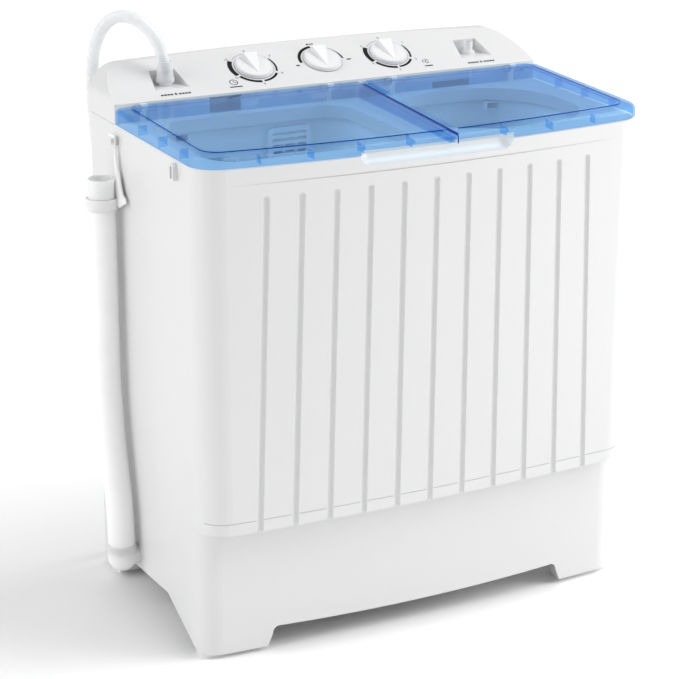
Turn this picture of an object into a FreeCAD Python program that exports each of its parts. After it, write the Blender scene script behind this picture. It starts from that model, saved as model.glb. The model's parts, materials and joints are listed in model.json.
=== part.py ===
import FreeCAD, Part
import math
import os

# Twin tub washing machine, millimetres. +Z up, front faces -Y, origin on the floor under the
# centre of the cabinet. The wash tub is on the left (-X), the spin tub on the right (+X).

V = FreeCAD.Vector

# Cabinet
HALF_W = 298.0          # half the cabinet's width
Y_BACK = 181.0          # back of the cabinet
CORNER_TOP = -163.0     # where side and front would meet at the top, without rounding
CORNER_LOW = -167.0     # the same at the bottom of the front panel
BOW_TOP = 20.0          # how far the front bulges out between its corners, at the top
BOW_LOW = 11.0
CORNER_R = 36.0         # rounding of the front corners
WALL = 3.0
Z_BASE_TOP = 172.0      # top of the base, bottom of the cabinet
Z_CAB_TOP = 620.0
Z_SEAM = 601.0          # parting line under the lids on the front
GROOVES = 11
GROOVE_PITCH_TOP = 43.0
GROOVE_PITCH_LOW = 45.6
GROOVE_SHIFT = -2.5
GROOVE_R = 4.4
GROOVE_OUT = 1.0        # the groove's axis lies this far outside the panel
Z_GROOVE_TOP = 586.0
Z_LIP = 186.5           # thin line above the panel's lower edge

# Base
BASE_CORNER = -145.0
BASE_BOW = 11.0
Z_FLOOR = 54.0
FOOT_H = 6.0
PADS = [(-256.0, -127.0), (256.0, -127.0), (-256.0, 152.0), (256.0, 152.0)]
REAR_SCREWS = [(x, z) for z in (192.0, 380.0, 568.0) for x in (-244.0, 0.0, 244.0) if x or z != 380.0]

# Lids and their hinges
LID_HALF = 300.0
LID_CORNER = -165.0
LID_BACK = 90.5
Z_LID = 622.0
Z_SHOULDER = 635.5      # lid edge and plateau at the front of the lids
Z_LID_TOP = 638.5
LID_RISE = 6.5          # how much higher both are at the back
SPLIT_BACK = 35.0       # x of the parting line between the lids, at the back
SPLIT_FRONT = 22.0      # and at the front
LID_GAP = 1.6
LID_T = 2.5
SHOULDER_IN = 17.0
HINGE_Y = 86.5
HINGE_Z = 640.0
PIN_R = 1.6
EAR_W = 8.0
EAR_R = 4.0
HINGES = (-262.0, -8.0, 84.0, 262.0)
GUSSETS = (-224.0, -160.0, -96.0, -32.0, 96.0, 160.0, 224.0)

# Console
LIP_Y = 92.0            # front edge of the sloping face
Z_LIP_TOP = 645.0
CREST_Y = 177.0         # top edge of the sloping face
Z_CREST = 683.5
Z_CREST_END = 679.0     # the crest is lower at both ends
CREST_END_R = 38.0
SLOPE = math.atan2(Z_CREST - Z_LIP_TOP, CREST_Y - LIP_Y)
WINDOWS = ((-172.0, -129.0, 641.0), (144.0, 200.0, 630.0))    # x from, x to and top of the front windows
Z_WINDOW = 621.5
KNOB_X = (-92.0, 5.0, 101.5)
KNOB_UP = 46.0          # the dials' axes, measured up the slope from its front edge
KNOB_R = 25.2
GRIP_TIP, GRIP_END = -18.5, 19.0    # the grip's ends across the dial
GRIP_HALF = 11.5        # half its width at the wide end
GRIP_H = 11.0
NOZZLE_X = (-213.5, 221.5)
NOZZLE_Y = 134.0
Z_POCKET = 653.0
POCKET_BACK = 146.5
NOZZLE_R = 6.0
Z_NOZZLE = 657.0        # the hose stands on the nozzle's collar
Z_NOZZLE_TOP = 669.0

# Tubs and drives
WASH_MOUTH = (-268.0, -140.0, 4.0, 80.0)
SPIN_MOUTH = (42.0, -140.0, 268.0, 80.0)
PEG_Y, PEG_Z = 88.0, 601.0
DRAIN_Y = 61.0          # drain pipe and the hose port it leads to
DRAIN_Z = 62.0
VALVE_X = -30.0
WASH_X, WASH_Y = -132.0, -30.0
SPIN_X, SPIN_Y = 155.0, -30.0
Z_WASH_FLOOR = 205.0
Z_SPIN_FLOOR = 250.0
Z_TUB_TOP = 617.0
BASKET_R = 104.0
SHAFT_R = 6.0           # spin shaft
PULSATOR_SHAFT_R = 8.0
WASH_MOTOR = (-132.0, 105.0)
Z_BELT = 106.0
BRAKE_PIVOT = (236.0, 22.0)
MOTOR_FEET = [(64 * math.cos(a), 64 * math.sin(a)) for a in (math.radians(30 + 120 * k) for k in range(3))]
SEAL_R = 14.0           # wash shaft's seal in the tub floor
SPIN_DRAIN_X, SPIN_DRAIN_Y = 80.0, 40.0
FIT = 0.05              # running clearance on a radius

# Hoses
INLET_HOSE_D = 15.5
DRAIN_HOSE_D = 35.0
DRAIN_HOSE_X = -318.5
COLLAR_Y = 90.0
COLLAR_Z = 517.0
# Routes: straight runs whose corners are rounded off
INLET_ROUTE = [
    (-213.5, 134, 670), (-215, 137, 695.5), (-225.5, 148, 719.5), (-242.5, 165, 737.5), (-262, 183.5, 734),
    (-277, 196, 712), (-284, 201, 676), (-285, 203, 630), (-280, 204, 575), (-277, 201, 515),
    (-278, 200, 455), (-281, 202, 395), (-280, 204, 335), (-276, 204, 275), (-274, 201, 215),
    (-273, 200, 155), (-270, 203, 100), (-262, 207, 55), (-240, 212, 22), (-203, 215, 7.75),
    (-155, 218, 7.75), (-100, 215, 7.75), (-45, 209, 7.75), (8, 207, 7.75), (58, 211, 7.75), (100, 216, 7.75),
    (140, 216, 7.75),
]
DRAIN_ROUTE = [(DRAIN_HOSE_X, DRAIN_Y, DRAIN_Z + 8), (-318.5, 61, 125), (-319, 78, 195), (-319.4, 91, 290),
               (-319, 90, 408), (-319, 90, 523)]


def box(x0, y0, z0, x1, y1, z1):
    return Part.makeBox(x1 - x0, y1 - y0, z1 - z0, V(x0, y0, z0))


def cyl(r, start, end):
    axis = end - start
    return Part.makeCylinder(r, axis.Length, start, axis)


def post(r, x, y, z0, z1):
    return cyl(r, V(x, y, z0), V(x, y, z1))


def tube(r_out, r_in, x, y, z0, z1):
    return post(r_out, x, y, z0, z1).cut(post(r_in, x, y, z0, z1))


def seg(a, b):
    return Part.LineSegment(a, b).toShape()


def arc(a, b, c):
    return Part.Arc(a, b, c).toShape()


def prism(wire, height):
    return Part.Face(wire).extrude(V(0, 0, height))


def poly(points):
    return Part.makePolygon(list(points) + [points[0]])


def upright(points, x0, x1):
    """Solid between two X planes with the given (y, z) profile."""
    wire = poly([V(x0, y, z) for y, z in points])
    return Part.Face(wire).extrude(V(x1 - x0, 0, 0))


def rounded(x0, y0, x1, y1, r, z0, z1):
    """Upright block with its four vertical edges rounded."""
    block = box(x0, y0, z0, x1, y1, z1)
    edges = [e for e in block.Edges if abs(e.Vertexes[0].Z - e.Vertexes[1].Z) > 1e-6]
    return block.makeFillet(r, edges)


def joined(first, *others):
    return first.fuse(list(others)).removeSplitter()


def save(name, *shapes):
    """Write one sub-part: every solid in the given shapes, as one STEP file."""
    solids = [s for shape in shapes for s in shape.Solids]
    whole = solids[0] if len(solids) == 1 else Part.makeCompound(solids)
    if not solids or not whole.isValid():
        raise RuntimeError(f"{name} has no valid solid")
    whole.exportStep(f"parts/{name}.step")
    b = whole.BoundBox
    print(f"{name:22s} {len(solids):3d} solids {whole.Volume / 1000:9.1f} cm3"
          f"  x {b.XMin:7.1f} {b.XMax:7.1f}  y {b.YMin:7.1f} {b.YMax:7.1f}  z {b.ZMin:6.1f} {b.ZMax:6.1f}")
    return whole


def front_y(x, corner, half, bow):
    """Y of the bowed front at x."""
    r = (half ** 2 + bow ** 2) / (2 * bow)
    return corner - bow + r - math.sqrt(r ** 2 - x ** 2)


def outline(half, back, corner, bow, corner_r, back_r, z):
    """Plan outline: flat back, straight sides and a bowed front, all joined by tangent arcs."""
    r = (half ** 2 + bow ** 2) / (2 * bow)
    centre = corner - bow + r
    fx = half - corner_r
    fy = centre - math.sqrt((r - corner_r) ** 2 - fx ** 2)
    k = r / (r - corner_r)
    tx, ty = fx * k, centre + (fy - centre) * k
    turn = math.atan2(ty - fy, tx - fx) / 2
    mx, my = fx + corner_r * math.cos(turn), fy + corner_r * math.sin(turn)
    bx, by = half - back_r, back - back_r
    q = back_r * math.sqrt(0.5)
    return Part.Wire([
        seg(V(-bx, back, z), V(bx, back, z)),
        arc(V(bx, back, z), V(bx + q, by + q, z), V(half, by, z)),
        seg(V(half, by, z), V(half, fy, z)),
        arc(V(half, fy, z), V(mx, my, z), V(tx, ty, z)),
        arc(V(tx, ty, z), V(0, corner - bow, z), V(-tx, ty, z)),
        arc(V(-tx, ty, z), V(-mx, my, z), V(-half, fy, z)),
        seg(V(-half, fy, z), V(-half, by, z)),
        arc(V(-half, by, z), V(-bx - q, by + q, z), V(-bx, back, z)),
    ])


def cabinet_form(inset, z0, z1):
    """The cabinet's outer form, or its inside when inset, between two heights."""
    def at(z):
        k = (z - Z_BASE_TOP) / (Z_CAB_TOP - Z_BASE_TOP)
        corner = CORNER_LOW + k * (CORNER_TOP - CORNER_LOW) + inset
        bow = BOW_LOW + k * (BOW_TOP - BOW_LOW)
        return outline(HALF_W - inset, Y_BACK - inset, corner, bow, CORNER_R - inset, 6.0 - inset / 2, z)
    return Part.makeLoft([at(z0), at(z1)], True, True)


def groove_rods(radius, z_low):
    """Round rods along the front panel's grooves, with round top ends."""
    rods = []
    for i in range(GROOVES):
        step = i - (GROOVES - 1) / 2

        def place(z):
            k = (z - Z_BASE_TOP) / (Z_CAB_TOP - Z_BASE_TOP)
            pitch = GROOVE_PITCH_LOW + (GROOVE_PITCH_TOP - GROOVE_PITCH_LOW) * k
            x = GROOVE_SHIFT + step * pitch
            corner = CORNER_LOW + k * (CORNER_TOP - CORNER_LOW)
            bow = BOW_LOW + k * (BOW_TOP - BOW_LOW)
            return V(x, front_y(x, corner, HALF_W, bow) - GROOVE_OUT, z)
        top = place(Z_GROOVE_TOP - GROOVE_R)
        rods.append(cyl(radius, place(z_low), top))
        rods.append(Part.makeSphere(radius, top))
    return rods


def scoop():
    """The finger recess under the lids' front edge."""
    half, r = 88.0, 15.0
    y, z = CORNER_TOP - BOW_TOP - 1.0, Z_CAB_TOP + 3.0
    bar = cyl(r, V(-half, y, z), V(half, y, z))
    return bar.fuse([Part.makeSphere(r, V(side * half, y, z)) for side in (-1, 1)])


def cabinet():
    outer = cabinet_form(0, Z_BASE_TOP, Z_CAB_TOP)
    shell = outer.cut(cabinet_form(WALL, Z_BASE_TOP - 1, Z_CAB_TOP + 1))
    ridges = [rod.common(outer) for rod in groove_rods(GROOVE_R + 2.6, Z_BASE_TOP + 1)]
    backing = box(-112, -184, 598, 112, -162, Z_CAB_TOP).common(outer)
    ledge = outer.common(box(-400, -400, Z_BASE_TOP, 400, 400, Z_BASE_TOP + WALL)).cut(
        box(-HALF_W + 30, -130, 0, HALF_W - 30, 165, 300))
    shell = shell.fuse(ridges + [backing, ledge])
    shell = shell.cut(groove_rods(GROOVE_R, Z_BASE_TOP - 6))
    shell = shell.cut(scoop())
    seam_r, seam_deep = 2467.0, 1.5
    keep = post(seam_r, 0, CORNER_TOP - BOW_TOP + seam_deep + seam_r, 590, 610)
    seam = box(-275, -190, Z_SEAM - 0.7, 275, -158, Z_SEAM + 0.7).cut(keep)
    line = box(-310, -190, Z_LIP, 310, -150, Z_LIP + 0.9).cut(cabinet_form(0.9, Z_BASE_TOP, 200))
    rear_hole = rounded(-236, 0, 236, 360, 12, -0.1, 20)
    rear_hole.rotate(V(0, 0, 0), V(1, 0, 0), 90)
    rear_hole.translate(V(0, Y_BACK + 5, 200))
    peg_hole = cyl(3.0, V(-310, PEG_Y, PEG_Z), V(-290, PEG_Y, PEG_Z))
    screws = [cyl(1.6, V(x, Y_BACK - 6, z), V(x, Y_BACK + 1, z)) for x, z in REAR_SCREWS]
    for tool in (rear_hole, peg_hole, screws, seam, line):
        shell = shell.cut(tool)
    return shell


def base():
    outer = prism(outline(HALF_W, Y_BACK, BASE_CORNER, BASE_BOW, 30.0, 6.0, FOOT_H), Z_BASE_TOP - FOOT_H)
    inner = prism(outline(HALF_W - WALL, Y_BACK - WALL, BASE_CORNER + WALL, BASE_BOW, 27.0, 4.0, 0), 300)
    floor = outer.common(box(-400, -400, Z_FLOOR, 400, 400, Z_FLOOR + 4))
    feet = [box(side * 255 - 43, y0, FOOT_H, side * 255 + 43, y1, Z_FLOOR + 1).common(outer)
            for side in (-1, 1) for y0, y1 in ((-200, -112), (128, 200))]
    body = outer.cut(inner).fuse([floor] + feet)
    arch = Part.Wire([
        seg(V(-214, -400, 0), V(-205, -400, 22)),
        arc(V(-205, -400, 22), V(-202, -400, 29), V(-194, -400, 31)),
        arc(V(-194, -400, 31), V(0, -400, 27), V(194, -400, 31)),
        arc(V(194, -400, 31), V(202, -400, 29), V(205, -400, 22)),
        seg(V(205, -400, 22), V(214, -400, 0)),
        seg(V(214, -400, 0), V(-214, -400, 0)),
    ])
    front_arch = Part.Face(arch).extrude(V(0, 800, 0))
    side_arch = upright([(-142, 0), (-113, 17), (-40, 50), (10, 47), (112, 43), (128, 0)], -400, 400)
    edges = [e for e in side_arch.Edges
             if abs(e.Vertexes[0].X - e.Vertexes[1].X) > 1 and e.Vertexes[0].Z > 40]
    side_arch = side_arch.makeFillet(9.0, edges)
    pockets = [rounded(side * 255 - 36, y0, side * 255 + 36, y1, 8, 10, Z_FLOOR + 6)
               for side in (-1, 1) for y0, y1 in ((-138, -118), (134, 172))]
    drain_hole = cyl(13.3, V(-310, DRAIN_Y, DRAIN_Z), V(-280, DRAIN_Y, DRAIN_Z))
    drain_notch = box(-292, DRAIN_Y - 16, 50, -240, DRAIN_Y + 16, 62)
    motor_holes = [post(3.0, SPIN_X + x, SPIN_Y + y, 40, 70) for x, y in MOTOR_FEET]
    pad_holes = [post(2.5, x, y, 0, 20) for x, y in PADS]
    opening = rounded(-250, -105, 60, 120, 20, 40, 80)
    return body.cut([front_arch, side_arch, drain_hole, drain_notch, opening]
                    + pockets + motor_holes + pad_holes)


def foot_pads():
    pads = []
    for x, y in PADS:
        pad = rounded(x - 38, y - 13, x + 38, y + 16, 10, 0, FOOT_H)
        pads.append(pad.fuse(post(2.5, x, y, FOOT_H, 16)))
    return Part.makeCompound(pads)


def deck():
    """The top frame that carries both tubs, inside the cabinet's upper edge."""
    outer = cabinet_form(WALL + 0.3, 600, Z_CAB_TOP)
    plate = outer.common(box(-400, -400, Z_TUB_TOP, 400, 400, Z_CAB_TOP))
    rims = [rounded(*WASH_MOUTH, 42, 604, Z_TUB_TOP), rounded(*SPIN_MOUTH, 94, 604, Z_TUB_TOP)]
    holes = [rounded(x0 + 2.5, y0 + 2.5, x1 - 2.5, y1 - 2.5, r - 2.5, 600, 630)
             for (x0, y0, x1, y1), r in ((WASH_MOUTH, 42), (SPIN_MOUTH, 94))]
    chute_holes = [box(x - 14.5, NOZZLE_Y - 14.5, 600, x + 14.5, NOZZLE_Y + 14.5, 630) for x in NOZZLE_X]
    hand = box(-113, -190, 590, 113, -161, 640)
    return plate.fuse(rims).cut(holes + chute_holes + [hand])


def wash_tub():
    x0, y0, x1, y1 = -276.0, -148.0, 12.0, 88.0
    outer = rounded(x0, y0, x1, y1, 50, Z_WASH_FLOOR, Z_TUB_TOP)
    inner = rounded(x0 + WALL, y0 + WALL, x1 - WALL, y1 - WALL, 47, Z_WASH_FLOOR + WALL, Z_TUB_TOP + 1)
    flange = rounded(x0 - 8, y0 - 8, x1 + 6, y1 + 8, 54, Z_TUB_TOP - WALL, Z_TUB_TOP)
    tub = outer.fuse(flange).cut(inner)
    ribs = [box(x - 1.5, y1 - WALL - 5, 300, x + 1.5, y1 - WALL + 1, 560) for x in (-220, -180, -140)]
    slots = [box(x, y1 - 6, z, x + 12, y1 + 6, z + 4) for z in (562, 571, 580) for x in (-88, -71, -54)]
    shaft = post(SEAL_R, WASH_X, WASH_Y, 190, 220)
    outlet = post(12.0, VALVE_X, DRAIN_Y, 190, 220)
    inlet = box(NOZZLE_X[0] - 10.3, 80, 589.7, NOZZLE_X[0] + 10.3, 100, 602.3)
    return tub.fuse(ribs).cut(slots + [shaft, outlet, inlet])


def spin_tub():
    x0, y0, x1, y1 = 36.0, -148.0, 274.0, 88.0
    outer = rounded(x0, y0, x1, y1, 100, Z_SPIN_FLOOR, Z_TUB_TOP)
    inner = rounded(x0 + WALL, y0 + WALL, x1 - WALL, y1 - WALL, 97, Z_SPIN_FLOOR + WALL, Z_TUB_TOP + 1)
    flange = rounded(x0 - 6, y0 - 8, x1 + 8, y1 + 8, 100, Z_TUB_TOP - WALL, Z_TUB_TOP)
    seal_seat = post(34.0, SPIN_X, SPIN_Y, 240, 260)
    outlet = post(9.0, SPIN_DRAIN_X, SPIN_DRAIN_Y, 240, 260)
    inlet = box(NOZZLE_X[1] - 10.3, 60, 589.7, NOZZLE_X[1] + 10.3, 100, 602.3)
    return outer.fuse(flange).cut([inner, seal_seat, outlet, inlet])


def spin_basket():
    r, z0, z1 = BASKET_R, 278.0, 566.0
    can = post(r, SPIN_X, SPIN_Y, z0, z1).cut(post(r - 1.5, SPIN_X, SPIN_Y, z0 + 3, z1 + 1))
    rim = Part.makeTorus(r - 1, 3.2, V(SPIN_X, SPIN_Y, z1))
    hub = post(18, SPIN_X, SPIN_Y, z0, z0 + 26)
    holes = []
    for row in range(7):
        for k in range(8):
            a = math.pi * (k + 0.5 * (row % 2)) / 8
            reach = V(math.cos(a), math.sin(a), 0) * (r + 5)
            centre = V(SPIN_X, SPIN_Y, z0 + 50 + 34 * row)
            holes.append(cyl(3.0, centre - reach, centre + reach))
    floor_holes = [post(4, SPIN_X + 60 * math.cos(a), SPIN_Y + 60 * math.sin(a), z0 - 1, z0 + 5)
                   for a in (k * math.pi / 4 for k in range(8))]
    bore = post(SHAFT_R, SPIN_X, SPIN_Y, z0 - 1, z0 + 30)
    return joined(can, rim).cut(holes).fuse(hub).cut(floor_holes + [bore])


def press_plate():
    z = 306.0
    plate = post(92, SPIN_X, SPIN_Y, z, z + 4).fuse(tube(92, 86, SPIN_X, SPIN_Y, z, z + 12))
    holes = [post(7, SPIN_X + d * math.cos(a), SPIN_Y + d * math.sin(a), z - 1, z + 6)
             for d, n in ((34, 6), (64, 12)) for a in (k * 2 * math.pi / n for k in range(n))]
    grips = [box(SPIN_X - 26, SPIN_Y + s - 2, z + 4, SPIN_X + 26, SPIN_Y + s + 2, z + 16) for s in (-15, 15)]
    return plate.cut(holes).fuse(grips)


def pulsator():
    z = 214.0
    disc = Part.makeCone(100, 96, 9, V(WASH_X, WASH_Y, z))
    dome = Part.makeCone(40, 16, 16, V(WASH_X, WASH_Y, z + 9))
    fins = []
    for k in range(4):
        fin = Part.makeCone(13, 9, 74, V(20, 0, z + 6), V(1, 0, 0)).common(box(0, -20, z + 8, 95, 20, z + 22))
        fin.rotate(V(0, 0, 0), V(0, 0, 1), 90 * k + 20)
        fin.translate(V(WASH_X, WASH_Y, 0))
        fins.append(fin)
    holes = [post(3, WASH_X + 78 * math.cos(a), WASH_Y + 78 * math.sin(a), z - 1, z + 10)
             for a in (math.radians(65 + 90 * k + s) for k in range(4) for s in (-14, 0, 14))]
    bore = post(8, WASH_X, WASH_Y, z - 1, z + 20)
    screw_well = post(6, WASH_X, WASH_Y, z + 15, z + 30)
    return disc.fuse([dome] + fins).cut(holes + [bore, screw_well])


def pulsator_screw():
    head = post(5.6, WASH_X, WASH_Y, 234.5, 238.0)
    return head.cut(box(WASH_X - 6, WASH_Y - 0.8, 236.6, WASH_X + 6, WASH_Y + 0.8, 239))


def pulsator_shaft():
    return post(8, WASH_X, WASH_Y, 100, 234.0).cut(post(2, WASH_X, WASH_Y, 228, 235))


def pulley(x, y, r, bore, z0, z1):
    flange, lip = 4.0, 2.0
    rim = post(r, x, y, z0, z1)
    sides = [post(r + flange, x, y, z0 - lip, z0), post(r + flange, x, y, z1, z1 + lip)]
    return joined(rim, *sides).cut(post(bore, x, y, z0 - 5, z1 + 5))


def wash_pulley():
    wheel = pulley(WASH_X, WASH_Y, 66, 8, Z_BELT, Z_BELT + 12)
    windows = [post(15, WASH_X + 40 * math.cos(a), WASH_Y + 40 * math.sin(a), 90, 130)
               for a in (k * math.pi / 2.5 for k in range(5))]
    return wheel.cut(windows)


def belt():
    """The belt round the two wash pulleys."""
    def loop(big, small, z):
        x, y0 = WASH_X, WASH_Y
        y1 = WASH_MOTOR[1]
        lean = math.asin((big - small) / (y1 - y0))
        c, s = math.cos(lean), math.sin(lean)
        right_big, right_small = V(x + big * c, y0 + big * s, z), V(x + small * c, y1 + small * s, z)
        left_big, left_small = V(x - big * c, y0 + big * s, z), V(x - small * c, y1 + small * s, z)
        return Part.Wire([seg(right_big, right_small), arc(right_small, V(x, y1 + small, z), left_small),
                          seg(left_small, left_big), arc(left_big, V(x, y0 - big, z), right_big)])
    z0, thick = Z_BELT + 1, 9.0
    return prism(loop(69.8, 16.8, z0), thick).cut(prism(loop(66.3, 13.3, z0), thick))


def motor(x, y, r, z0, z1, shaft_r, up):
    """A motor's housing with its rotor space, open for the shaft at one end."""
    body = post(r, x, y, z0, z1)
    fins = [post(r + 1.5, x, y, z, z + 2) for z in (z0 + 8, z1 - 10)]
    room = post(r - 16, x, y, z0 + 8, z1 - 8)
    mouth = post(shaft_r, x, y, z1 - 10, z1 + 1) if up else post(shaft_r, x, y, z0 - 1, z0 + 10)
    return joined(body, *fins).cut([room, mouth])


def split_at(y):
    """X of the parting line between the lids at y."""
    return SPLIT_FRONT + (SPLIT_BACK - SPLIT_FRONT) * (y + 185.0) / (LID_BACK + 185.0)


def rising(z_front, y):
    """Height at y of a surface that rises from front to back with the lids."""
    front = LID_CORNER - BOW_TOP
    return z_front + LID_RISE * (y - front) / (LID_BACK - front)


def lid_half(side, notches):
    """One lid: a thin moulding with a rounded shoulder round a raised plateau."""
    def side_of_split(inset, z0, z1):
        """This lid's side of the slanting parting line."""
        back = split_at(LID_BACK + 20) - side * (LID_GAP / 2 + inset)
        front = split_at(-200.0) - side * (LID_GAP / 2 + inset)
        far = side * -400.0
        return prism(poly([V(far, LID_BACK + 20, z0), V(back, LID_BACK + 20, z0),
                           V(front, -200, z0), V(far, -200, z0)]), z1 - z0)

    def below(z_front, z_low):
        """Everything above z_low and under the lids' rising top surface."""
        y0, y1 = -200.0, LID_BACK + 20
        return upright([(y0, z_low), (y0, rising(z_front, y0)), (y1, rising(z_front, y1)), (y1, z_low)],
                       -400, 400)

    def top_edges(shape, z_front):
        return [e for e in shape.Edges
                if all(abs(v.Z - rising(z_front, v.Y)) < 1e-4 for v in e.Vertexes)]

    def form(inset, z_skirt, z_shoulder, z_top, shoulder, fillets):
        skirt = prism(outline(LID_HALF - inset, LID_BACK - inset, LID_CORNER + inset, BOW_TOP,
                              CORNER_R - inset, 8.0 - inset, z_skirt), 40)
        skirt = skirt.common(side_of_split(inset, z_skirt, z_skirt + 40)).common(below(z_shoulder, z_skirt))
        skirt = skirt.makeFillet(fillets[0], top_edges(skirt, z_shoulder))
        level = prism(outline(LID_HALF - shoulder, LID_BACK - 9 - inset, LID_CORNER + shoulder, BOW_TOP,
                              22.0, 10.0, z_shoulder - 1), 40)
        level = level.common(side_of_split(5 + inset, 0, z_skirt + 60)).common(below(z_top, z_skirt))
        return skirt.fuse(level.makeFillet(fillets[1], top_edges(level, z_top)))
    outer = form(0.0, Z_LID, Z_SHOULDER, Z_LID_TOP, SHOULDER_IN, (6.5, 2.0))
    inner = form(LID_T, Z_LID - 1, Z_SHOULDER - LID_T, Z_LID_TOP - LID_T, SHOULDER_IN + LID_T, (4.0, 0.8))
    lid = outer.cut(inner)
    gussets = [box(x - 0.8, -186, Z_LID + 1, x + 0.8, -160, Z_SHOULDER - 1)
               for x in GUSSETS if (x - SPLIT_FRONT) * side < -15]
    out_x = -side * 299.0
    in_x = -side * 286.0
    gussets += [box(min(out_x, in_x), y - 0.8, Z_LID + 1, max(out_x, in_x), y + 0.8, Z_SHOULDER - 1)
                for y in range(-106, 70, 62)]
    blocks = [box(x - 14, LID_BACK - 9, HINGE_Z - 5, x + 14, LID_BACK, HINGE_Z + 4) for x in notches]
    lid = lid.fuse([g.common(outer) for g in gussets + blocks])
    hand = box(-103, -190, Z_LID - 1, 103, -174, Z_LID + 6)
    cuts = [hand]
    for x in notches:
        cuts.append(box(x - EAR_W / 2 - 0.6, LID_BACK - 9.5, 600, x + EAR_W / 2 + 0.6, LIP_Y + 10, 660))
        cuts.append(cyl(PIN_R + FIT, V(x - 12.2, HINGE_Y, HINGE_Z), V(x + 12.2, HINGE_Y, HINGE_Z)))
    return lid.cut(cuts)


def hinge_pins():
    return Part.makeCompound([cyl(PIN_R, V(x - 12, HINGE_Y, HINGE_Z), V(x + 12, HINGE_Y, HINGE_Z))
                              for x in HINGES])


def console_profile(inset):
    """The console's side profile as (y, z) points."""
    drop = inset / math.cos(SLOPE)
    up = math.tan(SLOPE)
    y0, y1 = LIP_Y + inset, Y_BACK - inset
    top = Z_CREST - drop
    return [(y0, Z_CAB_TOP - inset), (y0, Z_LIP_TOP + up * inset - drop), (CREST_Y, top), (y1, top),
            (y1, Z_CAB_TOP - inset)]


def console_crown(inset):
    """Seen from the front: a crowned top edge with rounded ends."""
    half, end, r = HALF_W - inset, Z_CREST_END - inset, CREST_END_R - inset
    top, low = Z_CREST - inset, Z_CAB_TOP - 2 * inset
    q = r * (1 - math.sqrt(0.5))
    a, b, c = V(-half, 0, end - r), V(-half + q, 0, end - q), V(-half + r, 0, end)
    wire = Part.Wire([
        seg(V(-half, 0, low), a), arc(a, b, c), arc(c, V(0, 0, top), V(-c.x, 0, end)),
        arc(V(-c.x, 0, end), V(-b.x, 0, b.z), V(half, 0, end - r)),
        seg(V(half, 0, end - r), V(half, 0, low)), seg(V(half, 0, low), V(-half, 0, low))])
    return Part.Face(wire).extrude(V(0, 400, 0))


def on_slope(shape, x):
    """Stand a shape made on the XY plane on the console's sloping face, on a dial's axis."""
    turned = shape.copy()
    turned.rotate(V(0, 0, 0), V(1, 0, 0), math.degrees(SLOPE))
    turned.translate(V(x, LIP_Y + KNOB_UP * math.cos(SLOPE), Z_LIP_TOP + KNOB_UP * math.sin(SLOPE)))
    return turned


def pocket(x, inset):
    """The recess round an inlet nozzle: level floor, upright back, sides that spread forwards."""
    y0, y1 = LIP_Y + 8, POCKET_BACK + inset
    front, back = 24.5 + inset, 17.0 + inset
    points = [V(x - front, y0, 0), V(x - back, y1, 0), V(x + back, y1, 0), V(x + front, y0, 0)]
    block = prism(poly(points), 100)
    block.translate(V(0, 0, Z_POCKET - inset))
    return block


def console():
    outer = upright(console_profile(0), -400, 400).common(console_crown(0))
    lip = [e for e in outer.Edges if all(abs(v.Z - Z_LIP_TOP) < 1e-6 for v in e.Vertexes)]
    outer = outer.makeFillet(1.5, lip)
    body = outer.cut(upright(console_profile(WALL), -400, 400).common(console_crown(WALL)))
    body = body.fuse([pocket(x, 2.5).common(outer) for x in NOZZLE_X])
    body = body.cut([pocket(x, 0) for x in NOZZLE_X])
    body = body.cut([post(9.0, x, NOZZLE_Y, Z_POCKET - 8, Z_POCKET + 8) for x in NOZZLE_X])
    body = body.cut([box(x0, LIP_Y - 1, Z_WINDOW, x1, LIP_Y + WALL + 1, z) for x0, x1, z in WINDOWS])
    body = body.cut([on_slope(post(3.6, 0, 0, -8, 8), x) for x in KNOB_X])
    ears = []
    for x in HINGES:
        knuckle = cyl(EAR_R, V(x - EAR_W / 2, HINGE_Y, HINGE_Z), V(x + EAR_W / 2, HINGE_Y, HINGE_Z))
        arm = box(x - EAR_W / 2, HINGE_Y, HINGE_Z - EAR_R, x + EAR_W / 2, LIP_Y + 1, HINGE_Z + 1.5)
        ears.append(knuckle.fuse(arm))
    body = body.fuse(ears)
    return body.cut([cyl(PIN_R, V(x - 5, HINGE_Y, HINGE_Z), V(x + 5, HINGE_Y, HINGE_Z)) for x in HINGES])


def nozzles():
    made = []
    for x in NOZZLE_X:
        stub = post(NOZZLE_R, x, NOZZLE_Y, 632, Z_NOZZLE_TOP)
        stub = stub.fuse(post(9.0, x, NOZZLE_Y, Z_POCKET - 2.5, Z_NOZZLE))
        made.append(stub.cut(post(4.2, x, NOZZLE_Y, 620, Z_NOZZLE_TOP + 1)))
    return Part.makeCompound(made)


def chutes():
    """Water channels that take the inlets' water to the tub walls, below the nozzles."""
    made = []
    for x, y_end in zip(NOZZLE_X, (84.0, 67.0)):
        y0, y1 = NOZZLE_Y - 14, NOZZLE_Y + 14
        funnel = box(x - 14, y0, 617, x + 14, y1, 630)
        spout = box(x - 10, y_end, 590, x + 10, y1, 602)
        drop = box(x - 10, y1 - 20, 600, x + 10, y1, 620)
        hollow = [box(x - 12, y0 + 2, 619, x + 12, y1 - 2, 631),
                  box(x - 8, y_end - 5, 592, x + 8, y1 - 2, 600),
                  box(x - 8, y1 - 18, 594, x + 8, y1 - 2, 622)]
        made.append(funnel.fuse([spout, drop]).cut(hollow))
    return made


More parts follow.
